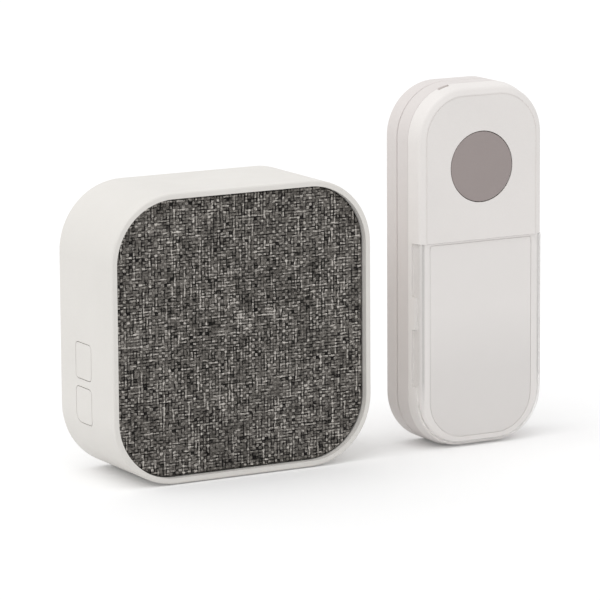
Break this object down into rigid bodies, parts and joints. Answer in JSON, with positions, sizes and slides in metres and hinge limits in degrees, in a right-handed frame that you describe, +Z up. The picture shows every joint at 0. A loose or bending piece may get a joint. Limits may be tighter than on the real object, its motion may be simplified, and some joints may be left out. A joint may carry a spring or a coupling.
{
  "type": "wireless doorbell",
  "caption": "Square portable chime with a woven front and side buttons, beside an upright bell push with a round button, clear card cover and wall bracket",
  "frame": {"origin": "on the floor, under the middle of the set's bounding box", "axes": "+X from the chime to the push, +Y from the front to the back, +Z up"},
  "size_m": [0.1628, 0.0386, 0.1222],
  "materials": {
    "chime_plastic": "fine moulded satin, warm white",
    "push_plastic": "fine moulded satin, cool white",
    "fabric": "plain weave of mixed grey threads",
    "frame_plastic": "black moulded frame",
    "foot_rubber": "soft grey rubber",
    "foam_rubber": "black foam",
    "surround_rubber": "black rubber roll",
    "cone_paper": "coated paper",
    "dust_cap": "coated cap and coil former",
    "basket_steel": "pressed zinc-plated steel",
    "magnet": "ferrite ring with steel plates",
    "screw_steel": "plated steel",
    "switch_black": "black moulded body",
    "plunger_plastic": "natural nylon",
    "circuit_board": "green solder mask",
    "chip_black": "black moulded chips",
    "can_steel": "tinned can",
    "cell_steel": "nickel-plated cell",
    "cell_jacket": "plain printed sleeve",
    "contact_nickel": "nickel-plated spring strip",
    "socket_nylon": "natural nylon socket",
    "clear_plastic": "clear moulded plastic",
    "card": "blank white card",
    "button_grey": "fine satin grey"
  },
  "bodies": {
    "chime": {"case_shell": "chime_plastic", "foot_strips": "foot_rubber", "fabric_front": "fabric", "grille_frame": "frame_plastic", "speaker_gasket": "foam_rubber", "speaker_basket": "basket_steel", "speaker_surround": "surround_rubber", "speaker_cone": "cone_paper", "dust_cap": "dust_cap", "speaker_magnet": "magnet", "speaker_screws": "screw_steel", "cover_screws": "screw_steel", "main_board_screws": "screw_steel", "side_board_screws": "screw_steel", "upper_side_switch": "switch_black", "lower_side_switch": "switch_black", "side_board": "circuit_board", "main_board": "circuit_board", "back_cover": "chime_plastic", "lower_cell": "cell_jacket", "middle_cell": "cell_jacket", "upper_cell": "cell_jacket", "left_contacts": "contact_nickel", "right_contacts": "contact_nickel", "main_board_chips": "chip_black", "radio_module": "can_steel", "capacitors": "can_steel", "speaker_socket": "socket_nylon"},
    "upper_side_button": {"upper_side_button": "chime_plastic"},
    "lower_side_button": {"lower_side_button": "chime_plastic"},
    "upper_side_plunger": {"upper_side_plunger": "plunger_plastic"},
    "lower_side_plunger": {"lower_side_plunger": "plunger_plastic"},
    "battery_door": {"battery_door": "chime_plastic"},
    "push_bracket": {"wall_bracket": "push_plastic"},
    "push_rear": {"rear_shell": "push_plastic", "push_board": "circuit_board", "push_switch": "switch_black", "coin_holder": "switch_black", "coin_cell": "cell_steel", "cell_strap": "contact_nickel", "push_chips": "chip_black", "push_board_screws": "screw_steel"},
    "push_plunger": {"push_plunger": "plunger_plastic"},
    "push_front": {"front_shell": "push_plastic", "name_card": "card"},
    "push_button": {"push_button": "button_grey"},
    "clear_cover": {"clear_cover": "clear_plastic"}
  },
  "joints": [
    {"name": "upper_side_press", "type": "slide", "parent": "chime", "child": "upper_side_button", "axis": [1, 0, 0], "range_m": [0, 0.0006], "stiffness_N_per_m": 1500, "springref_m": -0.0006},
    {"name": "lower_side_press", "type": "slide", "parent": "chime", "child": "lower_side_button", "axis": [1, 0, 0], "range_m": [0, 0.0006], "stiffness_N_per_m": 1500, "springref_m": -0.0006},
    {"name": "upper_plunger_slide", "type": "slide", "parent": "chime", "child": "upper_side_plunger", "axis": [1, 0, 0], "range_m": [0, 0.0006]},
    {"name": "lower_plunger_slide", "type": "slide", "parent": "chime", "child": "lower_side_plunger", "axis": [1, 0, 0], "range_m": [0, 0.0006]},
    {"name": "battery_door_off", "type": "slide", "parent": "chime", "child": "battery_door", "axis": [0, 1, 0], "range_m": [0, 0.03]},
    {"name": "push_lift", "type": "slide", "parent": "chime", "child": "push_bracket", "axis": [0, 0, 1], "range_m": [0, 0.15]},
    {"name": "bracket_release", "type": "slide", "parent": "push_bracket", "child": "push_rear", "axis": [0, -1, 0], "range_m": [0, 0.03]},
    {"name": "front_release", "type": "slide", "parent": "push_rear", "child": "push_front", "axis": [0, -1, 0], "range_m": [0, 0.03]},
    {"name": "clear_cover_off", "type": "slide", "parent": "push_front", "child": "clear_cover", "axis": [0, -1, 0], "range_m": [0, 0.02]},
    {"name": "push_button_press", "type": "slide", "parent": "push_front", "child": "push_button", "axis": [0, 1, 0], "range_m": [0, 0.0006], "stiffness_N_per_m": 1500, "springref_m": -0.0006},
    {"name": "push_plunger_slide", "type": "slide", "parent": "push_rear", "child": "push_plunger", "axis": [0, 1, 0], "range_m": [0, 0.0006]}
  ],
  "couplings": [
    {"joint": "upper_plunger_slide", "follows": "upper_side_press", "ratio": 1},
    {"joint": "lower_plunger_slide", "follows": "lower_side_press", "ratio": 1},
    {"joint": "push_plunger_slide", "follows": "push_button_press", "ratio": 1}
  ]
}
